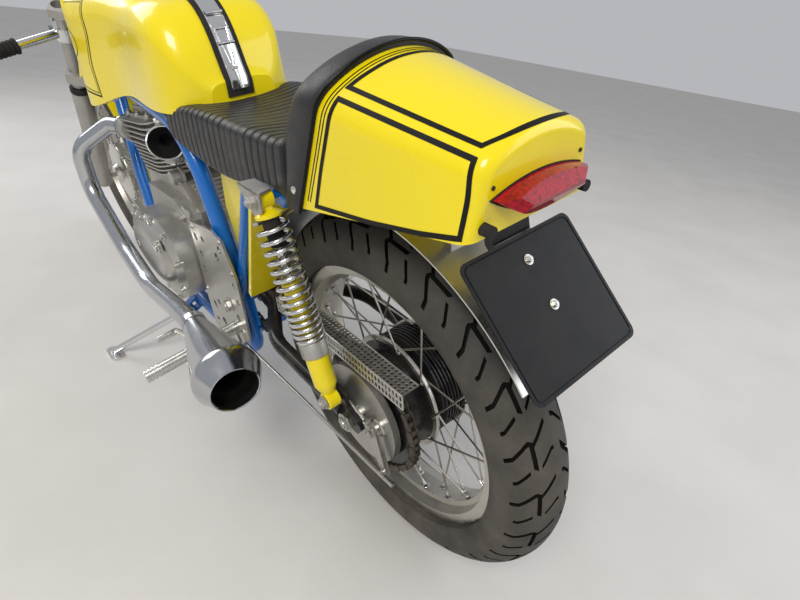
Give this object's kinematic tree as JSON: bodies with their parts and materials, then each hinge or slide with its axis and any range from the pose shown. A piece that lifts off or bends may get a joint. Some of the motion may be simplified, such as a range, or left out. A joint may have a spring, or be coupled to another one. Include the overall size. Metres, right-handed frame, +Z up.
{
  "type": "cafe racer motorcycle",
  "caption": "Cafe racer motorcycle leaning on its side stand, with turning wheels, steering that turns and a stand that folds.",
  "frame": {"origin": "on the ground below the middle of the parked machine's bounding box", "axes": "+X towards the front wheel, +Y to the machine's left, the side it leans to, +Z up from the ground"},
  "size_m": [2.0483, 0.7482, 1.0033],
  "materials": {
    "blue_paint": "gloss",
    "black_paint": "satin",
    "steel": "satin",
    "yellow_paint": "gloss",
    "chrome": "mirror",
    "alloy": "satin",
    "polished_alloy": "polished",
    "vinyl": "satin",
    "black_plastic": "gloss",
    "red_lens": "gloss",
    "rubber": "matt",
    "tyre": "matt"
  },
  "bodies": {
    "root": {"frame": "blue_paint", "swingarm": "black_paint", "rear_axle": "steel", "shock_bodies": "yellow_paint", "shock_springs": "chrome", "chain": "steel", "chain_guard": "alloy", "rear_brake_plate": "alloy", "brake_rod": "steel", "crankcase": "alloy", "engine_covers": "polished_alloy", "cylinder_barrel": "alloy", "cylinder_head": "alloy", "carburettors": "alloy", "engine_plates": "polished_alloy", "exhausts": "chrome", "fuel_tank": "yellow_paint", "filler_cap": "chrome", "seat_pad": "vinyl", "seat_tail": "yellow_paint", "number_plate": "black_plastic", "plate_bracket": "black_paint", "rear_mudguards": "polished_alloy", "tail_light": "red_lens", "tail_bungs": "rubber", "oil_tank": "yellow_paint", "footrests": "polished_alloy", "brake_pedal": "polished_alloy", "engine_levers": "polished_alloy"},
    "rear_wheel": {"rear_tyre": "tyre", "rear_rim": "polished_alloy", "rear_hub": "steel", "rear_spokes": "steel"},
    "front_wheel": {"front_tyre": "tyre", "front_rim": "polished_alloy", "front_hub": "alloy", "front_spokes": "steel"},
    "steering": {"yokes": "alloy", "fork_legs": "alloy", "front_mudguard": "yellow_paint", "handlebars": "chrome", "headlamp": "chrome", "instruments": "black_paint", "front_brake_plate": "alloy"},
    "stand": {"side_stand": "steel"}
  },
  "joints": [
    {"name": "steering", "type": "hinge", "parent": "root", "child": "steering", "pos_m": [0.43245, 0.03501, 0.71549], "axis": [-0.454, 0.1837, 0.8719], "range_deg": [-26, 26]},
    {"name": "front_wheel_spin", "type": "hinge", "parent": "steering", "child": "front_wheel", "pos_m": [0.70217, -0.04916, 0.31607], "axis": [0, 0.9785, -0.2062], "continuous": true},
    {"name": "rear_wheel_spin", "type": "hinge", "parent": "root", "child": "rear_wheel", "pos_m": [-0.69782, -0.0483, 0.32018], "axis": [0, 0.9785, -0.2062], "continuous": true},
    {"name": "side_stand_fold", "type": "hinge", "parent": "root", "child": "stand", "pos_m": [-0.00782, 0.05437, 0.15751], "axis": [0.1646, 0.6277, 0.7609], "range_deg": [0, 100]}
  ]
}
